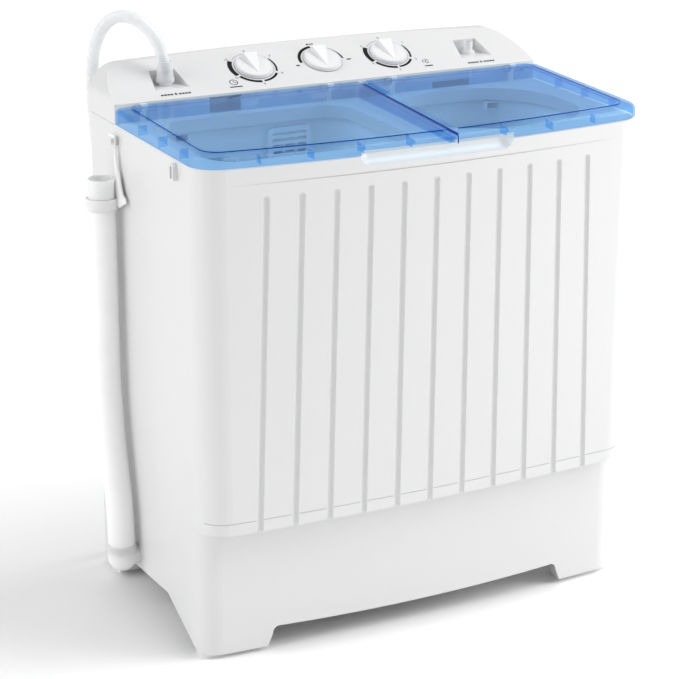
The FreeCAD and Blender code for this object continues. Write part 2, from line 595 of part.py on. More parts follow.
def knob():
    """A dial on the XY plane: a shallow disc with a grip that widens and rises towards +Y."""
    disc = Part.makeCone(KNOB_R, KNOB_R - 1.2, 3.4, V(0, 0, 0.6))
    groove = tube(KNOB_R - 2.2, KNOB_R - 2.9, 0, 0, 3.5, 5)

    def outline_at(points):
        return poly([V(x, y, z) for x, y, z in points])
    half, sole = GRIP_HALF, 3.0
    foot = outline_at([(-1.8, GRIP_TIP, sole), (1.8, GRIP_TIP, sole),
                       (half, GRIP_END, sole), (-half, GRIP_END, sole)])
    top = outline_at([(-0.8, GRIP_TIP + 1.5, sole + 1.2), (0.8, GRIP_TIP + 1.5, sole + 1.2),
                      (half - 2, GRIP_END - 1.6, GRIP_H), (2 - half, GRIP_END - 1.6, GRIP_H)])
    grip = Part.makeLoft([foot, top], True, True)
    return disc.cut(groove).fuse(grip).cut(post(3.0, 0, 0, 0, 6.0))


def knob_shaft():
    return post(3.0, 0, 0, -24, 6.0)


def timer():
    case = rounded(-18, -15, 18, 15, 3, -29, -4)
    collar = post(6, 0, 0, -4, -3.2)
    tabs = box(-24, -5, -6, 24, 5, -4.0)
    return case.fuse([collar, tabs]).cut(post(3.0 + FIT, 0, 0, -25, 0))


def rear_panel():
    plate = rounded(-252, 0, 252, 392, 10, 0, 2.0)
    ribs = [rounded(-200, 60 + 44 * k, 200, 72 + 44 * k, 5, 2.0, 3.2) for k in range(3)]
    vents = [rounded(-60 + 14 * k, 300, -54 + 14 * k, 350, 2.9, -1, 5) for k in range(9)]
    gland_hole = post(6.5, 190, 40, -1, 5)
    holes = [post(2.2, x, z - 184, -1, 5) for x, z in REAR_SCREWS]
    panel = plate.fuse(ribs).cut(vents + [gland_hole] + holes)
    panel.rotate(V(0, 0, 0), V(1, 0, 0), 90)
    panel.rotate(V(0, 0, 0), V(0, 0, 1), 180)
    panel.translate(V(0, Y_BACK, 184))
    return panel


def rear_screws():
    made = []
    for x, z in REAR_SCREWS:
        head = Part.makeCone(4.2, 3.2, 1.6, V(-x, Y_BACK + 2.0, z), V(0, 1, 0))
        made.append(head.fuse(cyl(1.6, V(-x, Y_BACK - 6, z), V(-x, Y_BACK + 2.0, z))))
    return made


def gland():
    x, z = -190.0, 224.0
    flange = cyl(11, V(x, Y_BACK + 2, z), V(x, Y_BACK + 4.0, z))
    nose = Part.makeCone(9, 7, 3.0, V(x, Y_BACK + 4.0, z), V(0, 1, 0))
    neck = cyl(6.5, V(x, Y_BACK - 4, z), V(x, Y_BACK + 2, z))
    return flange.fuse([nose, neck]).cut(cyl(3.6, V(x, Y_BACK - 9, z), V(x, Y_BACK + 12, z)))


def drain_port():
    """Elbow on the left wall: a hose socket that points up and a pipe through the wall."""
    x, y, z = DRAIN_HOSE_X, DRAIN_Y, DRAIN_Z
    elbow = post(18.6, x, y, z, z + 18).fuse([Part.makeSphere(18.6, V(x, y, z)),
                                              cyl(13.0, V(x, y, z), V(-272, y, z))])
    bore = [post(14.0, x, y, z, z + 20), cyl(10.0, V(x, y, z), V(-270, y, z))]
    seat = post(DRAIN_HOSE_D / 2, x, y, z + 8, z + 20)
    flat = box(-HALF_W, 0, z + 13.1, -270, 120, z + 30)
    return elbow.cut(bore + [seat, flat])


def rounded_path(points):
    """Straight runs joined by tangent arcs as large as the runs allow; returns the wire and the radii."""
    edges, radii, last = [], [], points[0]
    for a, p, b in zip(points, points[1:], points[2:]):
        into, out = (p - a), (b - p)
        turn = into.getAngle(out)
        short = min(into.Length, out.Length)
        radius = 0.45 * short / math.tan(turn / 2)
        cut = 0.45 * short
        into.normalize()
        out.normalize()
        start, end = p - into * cut, p + out * cut
        inward = (out - into)
        inward.normalize()
        middle = p + inward * (radius / math.cos(turn / 2) - radius)
        if (start - last).Length > 1e-6:
            edges.append(seg(last, start))
        edges.append(arc(start, middle, end))
        radii.append(radius)
        last = end
    edges.append(seg(last, points[-1]))
    return Part.Wire(edges), radii


def hose_solid(diameter, points):
    """A round solid along a route."""
    wire = rounded_path([V(*p) for p in points])[0]
    first = wire.OrderedEdges[0]
    ring = Part.Wire(Part.makeCircle(diameter / 2, first.valueAt(first.FirstParameter),
                                     first.tangentAt(first.FirstParameter)))
    return wire.makePipeShell([ring], True, False)


def hose(name, diameter, points):
    """Save a hose; print its length, radii and a volume check."""
    wire, radii = rounded_path([V(*p) for p in points])
    solid = hose_solid(diameter, points)
    section = math.pi * diameter ** 2 / 4
    print(f"{name}: length {wire.Length:.1f}, volume/section {solid.Volume / section:.1f},"
          f" radii {[round(r) for r in radii]}")
    return save(name, solid)


def drain_cup():
    """The drain hose's outlet: an open sleeve that stands out of the collar at the hose's end."""
    x, y, z = -319.0, COLLAR_Y, DRAIN_ROUTE[-1][2]
    sleeve = post(17.0, x, y, z, z + 33).fuse(Part.makeCone(17.0, 17.8, 6, V(x, y, z + 27)))
    return sleeve.cut(post(15.0, x, y, z - 1, z + 40))


def hose_hanger():
    """Strap from the peg on the cabinet's side to a collar round the drain hose's end."""
    x0, x1 = -305.0, -302.4
    points = [(PEG_Y + 8, PEG_Z + 9), (PEG_Y - 8, PEG_Z + 9), (PEG_Y - 9, PEG_Z - 6), (75, 577), (66, 556),
              (59, 541), (50, 537), (50, 531), (57, 529), (70, 522), (76, 522), (76, 533), (77, 546),
              (81, 566), (96, 588)]
    strap = upright(points, x0, x1)
    collar = post(20.5, -319, COLLAR_Y, COLLAR_Z + 3, COLLAR_Z + 15).fuse(
        Part.makeCone(18.5, 20.5, 3, V(-319, COLLAR_Y, COLLAR_Z)))
    hose_room = post(DRAIN_HOSE_D / 2 + 0.1, -319, COLLAR_Y, COLLAR_Z - 30, COLLAR_Z + 90)
    gap = box(-300.4, 0, 480, -280, 200, 640)
    return strap.fuse(collar).cut([hose_room, gap, cyl(3.2, V(-310, PEG_Y, PEG_Z), V(-290, PEG_Y, PEG_Z))])


def peg():
    pin = cyl(3.0, V(-306.5, PEG_Y, PEG_Z), V(-290, PEG_Y, PEG_Z))
    collar = cyl(5.5, V(-302.2, PEG_Y, PEG_Z), V(-HALF_W, PEG_Y, PEG_Z))
    head = Part.makeCone(3.5, 5.0, 2.0, V(-305.2, PEG_Y, PEG_Z), V(-1, 0, 0))
    return pin.fuse([collar, head])


def side_clip():
    """Hook on the left side, near the front, that holds the hose's end up."""
    x1, y, z = -HALF_W, -96.0, 606.0
    arch = cyl(6.0, V(x1 - 6, y, z + 4), V(x1, y, z + 4)).cut(cyl(3.2, V(x1 - 6, y, z + 4), V(x1, y, z + 4)))
    arch = arch.cut(box(-320, y - 8, z - 20, -280, y + 8, z + 4))
    legs = [box(x1 - 6, y + s - 1.4, z - 9, x1, y + s + 1.4, z + 4) for s in (-4.6, 4.6)]
    return joined(arch, *legs)


def inlet_sleeve():
    """Tapered sleeve round the inlet hose where it leaves its nozzle."""
    x, y = INLET_ROUTE[0][:2]
    sleeve = Part.makeCone(10.8, 9.6, 26, V(x, y, Z_NOZZLE)).fuse(post(11.6, x, y, Z_NOZZLE, Z_NOZZLE + 5))
    room = hose_solid(INLET_HOSE_D + 0.1, INLET_ROUTE[:3])
    return sleeve.cut([room, post(NOZZLE_R, x, y, Z_NOZZLE - 5, Z_NOZZLE_TOP)])


def tap_connector():
    """Push-on tap fitting on the free end of the inlet hose, lying on the floor."""
    x, y, z = INLET_ROUTE[-1]
    z = 13.0

    def bar(r, start, end):
        return cyl(r, V(x + start, y, z), V(x + end, y, z))
    grooves = [bar(14.0, d, d + 2).cut(bar(12.2, d, d + 2)) for d in (20, 26, 32)]
    return bar(9.5, 0, 14).fuse(bar(13.0, 14, 42)).cut(grooves + [bar(8.5, 16, 50)])


def lower_wash_drive():
    """Bearing housing, bearings, seal and motor bracket under the wash tub, by name."""
    housing = post(28, WASH_X, WASH_Y, 128, 203).fuse(post(48, WASH_X, WASH_Y, 199, Z_WASH_FLOOR))
    housing = housing.cut([post(10, WASH_X, WASH_Y, 120, 210), post(14, WASH_X, WASH_Y, 128, 141),
                           post(14, WASH_X, WASH_Y, 186, Z_WASH_FLOOR)])
    bearings = [tube(14, PULSATOR_SHAFT_R + FIT, WASH_X, WASH_Y, z, z + 12) for z in (129, 187)]
    seal = post(SEAL_R, WASH_X, WASH_Y, Z_WASH_FLOOR, 209).fuse(post(21, WASH_X, WASH_Y, 208, 211.5))
    seal = seal.cut(post(PULSATOR_SHAFT_R + FIT, WASH_X, WASH_Y, 200, 215))
    mx, my = WASH_MOTOR
    bracket = box(mx - 58, my - 54, 200, mx + 58, my + 46, Z_WASH_FLOOR).cut(
        box(mx - 48, my - 60, 190, mx + 48, my - 30, 201))
    return {"bearing_housing": [housing], "shaft_bearings": bearings, "shaft_seal": [seal],
            "motor_bracket": [bracket]}


def wash_motor_parts():
    x, y = WASH_MOTOR
    stator = motor(x, y, 37, 126, 200, SHAFT_R + FIT, False)
    rotor = post(20, x, y, 136, 188).fuse(post(SHAFT_R, x, y, 102, 137))
    return stator, rotor


def spin_motor_parts():
    stator = motor(SPIN_X, SPIN_Y, 50, 90, 190, SHAFT_R + FIT, True)
    feet = []
    for x, y in MOTOR_FEET:
        turn = math.degrees(math.atan2(y, x))
        arm = box(40, -11, 86, 76, 11, 91)
        arm.rotate(V(0, 0, 0), V(0, 0, 1), turn)
        arm.translate(V(SPIN_X, SPIN_Y, 0))
        feet.append(arm)
    px, py = BRAKE_PIVOT
    bracket = box(SPIN_X + 8, py - 14, 189, px + 9, py + 9, 194)
    pivot = post(4.0, px, py, 193, 232)
    stator = stator.fuse(feet + [bracket, pivot])
    stator = stator.cut([post(3.0, SPIN_X + x, SPIN_Y + y, 80, 95) for x, y in MOTOR_FEET]
                        + [post(33.9, SPIN_X, SPIN_Y, 98, 182)])
    rotor = post(32, SPIN_X, SPIN_Y, 101, 180)
    shaft = rotor.fuse(post(SHAFT_R, SPIN_X, SPIN_Y, 178, 303.5))
    return stator, shaft


def motor_mounts():
    """Sprung rubber feet between the spin motor and the base floor."""
    made = []
    for dx, dy in MOTOR_FEET:
        x, y = SPIN_X + dx, SPIN_Y + dy
        body = post(11, x, y, Z_FLOOR + 4, 86).cut(
            [tube(12, 8.6, x, y, z, z + 3) for z in (64, 71, 78)])
        made.append(body.fuse([post(3.0, x, y, Z_FLOOR, 93), post(5.5, x, y, 91, 94.5)]))
    return made


def brake_drum():
    drum = post(52, SPIN_X, SPIN_Y, 206, 232).cut(post(47, SPIN_X, SPIN_Y, 205, 228))
    hub = post(14, SPIN_X, SPIN_Y, 198, 230)
    return drum.fuse(hub).cut(post(SHAFT_R, SPIN_X, SPIN_Y, 190, 240))


def brake_lever():
    """Lever with a brake shoe that stands just off the drum while the spin lid is shut."""
    px, py = BRAKE_PIVOT
    hub = post(8.0, px, py, 212, 226)
    arm = box(SPIN_X + 26, py - 3, 215, px, py + 5, 223)
    shoe = tube(61, 53.4, SPIN_X, SPIN_Y, 210, 228)
    shoe = shoe.common(box(SPIN_X + 14, SPIN_Y, 200, SPIN_X + 44, 60, 240))
    return hub.fuse([arm, shoe]).cut(post(4.0 + FIT, px, py, 200, 240))


def spin_seal():
    """Rubber bellows between the spin tub's floor and the shaft."""
    rim = post(34, SPIN_X, SPIN_Y, Z_SPIN_FLOOR, Z_SPIN_FLOOR + WALL).fuse(
        post(39, SPIN_X, SPIN_Y, Z_SPIN_FLOOR + WALL, Z_SPIN_FLOOR + 6))
    cone = Part.makeCone(30, 12, 14, V(SPIN_X, SPIN_Y, Z_SPIN_FLOOR + 4))
    hollow = Part.makeCone(30, 9, 17, V(SPIN_X, SPIN_Y, Z_SPIN_FLOOR - 1))
    rings = [Part.makeTorus(r, 1.8, V(SPIN_X, SPIN_Y, z)) for r, z in ((27, 258), (22, 262), (17, 266))]
    return joined(rim.fuse(cone), *rings).cut([hollow, post(SHAFT_R + FIT, SPIN_X, SPIN_Y, 240, 275)])


def drain_parts():
    """Valve under the wash tub, its plunger, and the pipes to the port, by name."""
    x, y = VALVE_X, DRAIN_Y
    housing = post(22, x, y, 150, 205).fuse(post(30, x, y, 201, 205))
    housing = housing.cut([post(19, x, y, 153, 206), post(10, x, y, 145, 160),
                           cyl(8.0, V(x, y - 2, 178), V(SPIN_DRAIN_X, SPIN_DRAIN_Y, 178))])
    plunger = post(4, x, y, 156, 200).fuse([post(16, x, y, 186, 190), Part.makeCone(16, 9, 8, V(x, y, 190))])
    down = post(12.0, x, y, DRAIN_Z, 150)
    along = cyl(12.0, V(-272, y, DRAIN_Z), V(x, y, DRAIN_Z))
    pipe = down.fuse([along, Part.makeSphere(12.0, V(x, y, DRAIN_Z))]).cut(
        [post(9.5, x, y, DRAIN_Z, 160), cyl(9.5, V(-280, y, DRAIN_Z), V(x, y, DRAIN_Z))])
    sx, sy = SPIN_DRAIN_X, SPIN_DRAIN_Y
    start = V(sx, sy, 178)
    reach = V(x, y - 2, 178) - start
    reach.normalize()
    branch = post(9.0, sx, sy, 178, Z_SPIN_FLOOR).fuse(
        [Part.makeSphere(9.0, start), cyl(8.0, start, V(x, y - 2, 178) - reach * 20)])
    branch = branch.cut([post(7.0, sx, sy, 178, 260), cyl(6.0, start, V(x, y, 178))])
    return {"drain_valve": [housing], "drain_plunger": [plunger], "drain_pipes": [pipe, branch]}


def overflow_cover():
    """Plate with louvres over the wash tub's overflow slots."""
    x0, x1 = -98.0, -39.0
    plate = rounded(x0, 478, x1, 596, 6, 0, 5)
    slots = [rounded(x0 + 6, z, x1 - 5, z + 4, 1.9, -1, 7) for z in (554, 562, 570, 578, 586)]
    plate = plate.cut(slots)
    plate.rotate(V(0, 0, 0), V(1, 0, 0), 90)
    plate.translate(V(0, 84.9, 0))
    return plate


def lint_filter():
    """Clip-in frame with a mesh, on the back wall of the wash tub."""
    x0, x1, z0, z1 = -206.0, -166.0, 470.0, 572.0
    body = rounded(x0, 0, x1, 14, 5, z0, z1)
    window = rounded(x0 + 6, -1, x1 - 6, 9, 3, z0 + 16, z1 - 14)
    mesh = [box(x0 + 4, 4, z, x1 - 4, 6, z + 1.5) for z in range(int(z0) + 22, int(z1) - 16, 6)]
    grip = box(x0 + 12, -4, z1 - 9, x1 - 12, 1, z1 - 4)
    filter_body = body.cut(window).fuse(mesh + [grip])
    filter_body.translate(V(0, 64, 0))
    return filter_body


def capacitors():
    made = []
    for x, y in ((-30, 146), (30, 146)):
        can = post(17, x, y, Z_FLOOR + 4, Z_FLOOR + 62)
        blades = [box(x + s - 3, y - 0.5, Z_FLOOR + 62, x + s + 3, y + 0.5, Z_FLOOR + 69) for s in (-7, 7)]
        made.append(can.fuse(blades))
    return made


def main():
    os.makedirs("parts", exist_ok=True)
    # Casing
    save("cabinet_shell", cabinet())
    save("base", base())
    save("foot_pads", foot_pads())
    save("top_deck", deck())
    save("console", console())
    save("rear_panel", rear_panel())
    save("rear_panel_screws", *rear_screws())
    save("cable_gland", gland())
    # Lids
    save("wash_lid", lid_half(1, HINGES[:2]))
    save("spin_lid", lid_half(-1, HINGES[2:]))
    save("lid_hinge_pins", hinge_pins())
    # Controls
    for name, x in zip(("wash_timer", "selector", "spin_timer"), KNOB_X):
        save(name + "_knob", on_slope(knob(), x))
        save(name + "_shaft", on_slope(knob_shaft(), x))
        save(name + ("_switch" if name == "selector" else "_case"), on_slope(timer(), x))
    # Water inlets
    save("inlet_nozzles", nozzles())
    save("inlet_chutes", *chutes())
    save("inlet_hose_sleeve", inlet_sleeve())
    hose("inlet_hose", INLET_HOSE_D, INLET_ROUTE)
    save("tap_connector", tap_connector())
    # Wash side
    save("wash_tub", wash_tub())
    save("pulsator", pulsator())
    save("pulsator_screw", pulsator_screw())
    save("pulsator_shaft", pulsator_shaft())
    save("wash_pulley", wash_pulley())
    save("drive_belt", belt())
    save("overflow_cover", overflow_cover())
    save("lint_filter", lint_filter())
    for name, solids in lower_wash_drive().items():
        save(name, *solids)
    wash_stator, wash_rotor = wash_motor_parts()
    save("wash_motor", wash_stator)
    save("wash_motor_rotor", wash_rotor)
    save("motor_pulley", pulley(*WASH_MOTOR, 13, SHAFT_R, Z_BELT, Z_BELT + 12))
    # Spin side
    save("spin_tub", spin_tub())
    save("spin_basket", spin_basket())
    save("press_plate", press_plate())
    save("spin_seal", spin_seal())
    spin_stator, spin_shaft = spin_motor_parts()
    save("spin_motor", spin_stator)
    save("spin_shaft", spin_shaft)
    save("spin_motor_mounts", *motor_mounts())
    save("brake_drum", brake_drum())
    save("brake_lever", brake_lever())
    save("motor_capacitors", *capacitors())
    # Drain
    for name, solids in drain_parts().items():
        save(name, *solids)
    save("drain_port", drain_port())
    save("hose_hanger", hose_hanger())
    save("hanger_peg", peg())
    save("side_clip", side_clip())
    save("drain_hose_outlet", drain_cup())
    hose("drain_hose", DRAIN_HOSE_D, DRAIN_ROUTE)


main()
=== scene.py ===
import bpy
import json
import math
from mathutils import Matrix, Vector


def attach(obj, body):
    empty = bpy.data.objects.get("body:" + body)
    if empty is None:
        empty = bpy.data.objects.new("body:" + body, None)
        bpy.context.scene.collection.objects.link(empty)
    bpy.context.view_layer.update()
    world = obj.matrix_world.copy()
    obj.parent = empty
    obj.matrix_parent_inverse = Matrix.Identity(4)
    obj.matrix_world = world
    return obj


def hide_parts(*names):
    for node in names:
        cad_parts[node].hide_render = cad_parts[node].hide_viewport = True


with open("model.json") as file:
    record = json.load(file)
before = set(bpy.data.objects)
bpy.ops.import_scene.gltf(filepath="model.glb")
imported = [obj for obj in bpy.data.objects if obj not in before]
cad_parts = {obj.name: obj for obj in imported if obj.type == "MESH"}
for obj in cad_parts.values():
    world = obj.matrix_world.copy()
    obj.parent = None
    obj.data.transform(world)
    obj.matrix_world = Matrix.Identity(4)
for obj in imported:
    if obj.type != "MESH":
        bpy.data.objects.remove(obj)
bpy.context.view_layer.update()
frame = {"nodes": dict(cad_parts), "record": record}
NODES = frame["nodes"]
RECORD = frame["record"]
COLLECTION = bpy.context.scene.collection


# ---------------------------------------------------------------- camera

CAM_AT = (-1.2258, -2.3266, 1.2412)
CAM_YAW, CAM_PITCH, CAM_ROLL = 0.47224, 0.33496, 0.00297
CAM_LENS, CAM_SENSOR = 114.96, 36.0
CAM_NEAR, CAM_FAR = 0.05, 100.0


def add_camera():
    """A long lens from the front left, looking down a little; angles in radians."""
    level = math.cos(CAM_PITCH)
    fw = Vector((math.sin(CAM_YAW) * level, math.cos(CAM_YAW) * level, -math.sin(CAM_PITCH)))
    right = fw.cross(Vector((0, 0, 1))).normalized()
    up = right.cross(fw)
    c, s = math.cos(CAM_ROLL), math.sin(CAM_ROLL)
    right, up = right * c + up * s, up * c - right * s
    data = bpy.data.cameras.new("camera")
    data.lens = CAM_LENS
    data.sensor_width = CAM_SENSOR
    data.clip_start, data.clip_end = CAM_NEAR, CAM_FAR
    cam = bpy.data.objects.new("camera", data)
    turn = Matrix((right, up, -fw)).transposed().to_4x4()
    cam.matrix_world = Matrix.Translation(CAM_AT) @ turn
    COLLECTION.objects.link(cam)
    bpy.context.scene.camera = cam


add_camera()


# ---------------------------------------------------------------- hoses

INLET_ROUTE = (
    (-0.2135, 0.134, 0.670), (-0.215, 0.137, 0.6955), (-0.2255, 0.148, 0.7195), (-0.2425, 0.165, 0.7360),
    (-0.262, 0.1835, 0.734), (-0.277, 0.196, 0.712), (-0.284, 0.201, 0.676), (-0.285, 0.203, 0.630),
    (-0.280, 0.204, 0.575), (-0.277, 0.201, 0.515), (-0.278, 0.200, 0.455), (-0.281, 0.202, 0.395),
    (-0.280, 0.204, 0.335), (-0.276, 0.204, 0.275), (-0.274, 0.201, 0.215), (-0.273, 0.200, 0.155),
    (-0.270, 0.203, 0.100), (-0.262, 0.207, 0.055), (-0.240, 0.212, 0.022), (-0.203, 0.215, 0.00775),
    (-0.155, 0.218, 0.00775), (-0.100, 0.215, 0.00775), (-0.045, 0.209, 0.00775), (0.008, 0.207, 0.00775),
    (0.058, 0.211, 0.00775), (0.100, 0.216, 0.00775), (0.140, 0.216, 0.00775),
)
DRAIN_ROUTE = (
    (-0.3185, 0.061, 0.070), (-0.3185, 0.061, 0.125), (-0.319, 0.078, 0.195), (-0.3194, 0.091, 0.290),
    (-0.319, 0.090, 0.408), (-0.319, 0.090, 0.523),
)


def add_hose(name, route, diameter, node):
    """A hose along a route; its points' radius, times a bevel of 1 m, is half its diameter."""
    data = bpy.data.curves.new(name, "CURVE")
    data.dimensions = "3D"
    data.resolution_u = 10
    data.bevel_depth = 1.0
    data.bevel_resolution = 7
    data.use_fill_caps = True
    spline = data.splines.new("NURBS")
    spline.points.add(len(route) - 1)
    for point, (x, y, z) in zip(spline.points, route):
        point.co = (x, y, z, 1.0)
        point.radius = diameter / 2
    spline.order_u = 3
    spline.use_endpoint_u = True
    hose = bpy.data.objects.new(name, data)
    COLLECTION.objects.link(hose)
    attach(hose, "cabinet")
    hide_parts(node)
    return hose


inlet = add_hose("inlet_hose_line", INLET_ROUTE, diameter=0.0155, node="inlet_hose")
drain = add_hose("drain_hose_line", DRAIN_ROUTE, diameter=0.035, node="drain_hose")


# ---------------------------------------------------------------- materials

LID_FACE, LID_EDGE = (0.69, 0.87, 1.0), (0.06, 0.20, 0.70)
LID_CLOUDS = ((0.96, 0.97, 0.99), (1.0, 1.0, 1.0))
LID_SKIN = ((0.10, 0.33, 0.78), (0.13, 0.38, 0.84))
LID_SHADE = (0.90, 0.96, 1.0)


class Shader:
    """A material's node tree with short calls to add and join nodes."""

    def __init__(self, name):
        self.mat = bpy.data.materials.new(name)
        self.mat.use_nodes = True
        self.tree = self.mat.node_tree
        self.tree.nodes.clear()
        self.out = self.add("ShaderNodeOutputMaterial")
        self.coord = self.add("ShaderNodeTexCoord").outputs["Object"]

    def add(self, kind, **props):
        node = self.tree.nodes.new(kind)
        for key, value in props.items():
            setattr(node, key, value)
        return node

    def join(self, source, target):
        self.tree.links.new(source, target)

    def noise(self, scale, detail=3.0, stretch=None):
        node = self.add("ShaderNodeTexNoise")
        node.inputs["Scale"].default_value = scale
        node.inputs["Detail"].default_value = detail
        if stretch:
            mapping = self.add("ShaderNodeMapping")
            mapping.inputs["Scale"].default_value = stretch
            self.join(self.coord, mapping.inputs["Vector"])
            self.join(mapping.outputs["Vector"], node.inputs["Vector"])
        else:
            self.join(self.coord, node.inputs["Vector"])
        return node.outputs["Fac"]

    def spread(self, source, low, high, in_low=0.3, in_high=0.7):
        """A value from in_low to in_high, mapped to low to high."""
        node = self.add("ShaderNodeMapRange")
        for key, value in (("From Min", in_low), ("From Max", in_high), ("To Min", low), ("To Max", high)):
            node.inputs[key].default_value = value
        self.join(source, node.inputs["Value"])
        return node.outputs["Result"]

    def blend(self, factor, a, b):
        """From colour a to colour b."""
        node = self.add("ShaderNodeMix", data_type="RGBA")
        node.inputs[6].default_value = (*a, 1.0)
        node.inputs[7].default_value = (*b, 1.0)
        self.join(factor, node.inputs[0])
        return node.outputs[2]

    def mottle(self, scale, detail, a, b):
        """A colour that wanders between a and b."""
        return self.blend(self.spread(self.noise(scale, detail), 0.0, 1.0), a, b)

    def bump(self, height, strength, distance):
        node = self.add("ShaderNodeBump")
        node.inputs["Strength"].default_value = strength
        node.inputs["Distance"].default_value = distance
        self.join(height, node.inputs["Height"])
        return node.outputs["Normal"]

    def facing(self, blend):
        """0 where the surface faces the eye, up to 1 where it is seen edge on."""
        node = self.add("ShaderNodeLayerWeight")
        node.inputs["Blend"].default_value = blend
        return node.outputs["Facing"]

    def principled(self, **sockets):
        node = self.add("ShaderNodeBsdfPrincipled")
        for key, value in sockets.items():
            node.inputs[key.replace("_", " ")].default_value = value
        return node

    def transparent(self, colour=(1.0, 1.0, 1.0)):
        node = self.add("ShaderNodeBsdfTransparent")
        node.inputs["Color"].default_value = (*colour, 1.0)
        return node

    def mix(self, share, first, second):
        """Two shaders mixed by the second one's share."""
        node = self.add("ShaderNodeMixShader")
        self.join(share, node.inputs["Fac"])
        self.join(first, node.inputs[1])
        self.join(second, node.inputs[2])
        return node.outputs[0]

    def finish(self, surface):
        self.join(surface, self.out.inputs["Surface"])
        return self.mat


def darker(colour, share):
    return tuple(c * share for c in colour)


def plastic(name, colour, rough=0.32, swing=0.1, tint=0.97, mottle=18.0, grain=1400.0, relief=0.05,
            **sockets):
    """Moulded plastic: faint mottling, uneven gloss and a fine skin texture."""
    s = Shader(name)
    p = s.principled(**sockets)
    s.join(s.mottle(mottle, 4.0, darker(colour, tint), colour), p.inputs["Base Color"])
    s.join(s.spread(s.noise(mottle * 4, 5.0), rough - swing / 2, rough + swing / 2), p.inputs["Roughness"])
    s.join(s.bump(s.noise(grain, 2.0), relief, 0.0002), p.inputs["Normal"])
    return s.finish(p.outputs[0])


def metal(name, colour, rough, stretch, relief=0.15, metallic=1.0, tint=0.8):
    """Metal with drawn streaks and uneven tarnish."""
    s = Shader(name)
    p = s.principled(Metallic=metallic)
    s.join(s.mottle(60.0, 5.0, darker(colour, tint), colour), p.inputs["Base Color"])
    streaks = s.noise(220.0, 3.0, stretch)
    s.join(s.spread(streaks, rough - 0.1, rough + 0.1), p.inputs["Roughness"])
    s.join(s.bump(streaks, relief, 0.0001), p.inputs["Normal"])
    return s.finish(p.outputs[0])


def lid_plastic(name):
    """Clear tinted moulding: deeper where it is seen edge on, with a gloss that grows at a slant.

    Shadow and diffuse rays only take its light shade, so that the tubs under it stay bright.
    """
    s = Shader(name)
    facing = s.facing(0.5)
    tint = s.add("ShaderNodeMix", data_type="RGBA", blend_type="MULTIPLY")
    tint.inputs[0].default_value = 1.0
    s.join(s.blend(s.spread(facing, 0.0, 1.0, 0.74, 0.97), LID_FACE, LID_EDGE), tint.inputs[6])
    s.join(s.mottle(7.0, 2.0, *LID_CLOUDS), tint.inputs[7])
    body = s.transparent()
    s.join(tint.outputs[2], body.inputs["Color"])
    skin = s.principled(Specular_IOR_Level=1.0)
    s.join(s.mottle(30.0, 3.0, *LID_SKIN), skin.inputs["Base Color"])
    s.join(s.spread(s.noise(40.0, 4.0), 0.05, 0.10), skin.inputs["Roughness"])
    s.join(s.bump(s.noise(26.0, 1.0), 0.05, 0.0015), skin.inputs["Normal"])
    gloss = s.add("ShaderNodeBsdfGlossy")
    s.join(s.spread(s.noise(55.0, 4.0), 0.03, 0.07), gloss.inputs["Roughness"])
    moulding = s.mix(s.spread(facing, 0.08, 0.22, 0.3, 0.95), body.outputs[0], skin.outputs[0])
    glazed = s.mix(s.spread(facing, 0.01, 0.18, 0.5, 0.97), moulding, gloss.outputs[0])
    path = s.add("ShaderNodeLightPath")
    indirect = s.add("ShaderNodeMath", operation="MAXIMUM")
    s.join(path.outputs["Is Shadow Ray"], indirect.inputs[0])
    s.join(path.outputs["Is Diffuse Ray"], indirect.inputs[1])
    return s.finish(s.mix(indirect.outputs[0], glazed, s.transparent(LID_SHADE).outputs[0]))


def clear_vinyl(name, colour, see_through):
    """Milky vinyl: more see-through where it faces the eye, denser at the edges."""
    s = Shader(name)
    p = s.principled(Coat_Weight=0.4, Coat_Roughness=0.15)
    s.join(s.mottle(25.0, 3.0, darker(colour, 0.95), colour), p.inputs["Base Color"])
    s.join(s.spread(s.noise(90.0, 4.0), 0.2, 0.34), p.inputs["Roughness"])
    s.join(s.bump(s.noise(500.0, 2.0), 0.08, 0.0003), p.inputs["Normal"])
    share = s.spread(s.facing(0.35), see_through, 0.08, 0.05, 0.85)
    return s.finish(s.mix(share, p.outputs[0], s.transparent().outputs[0]))


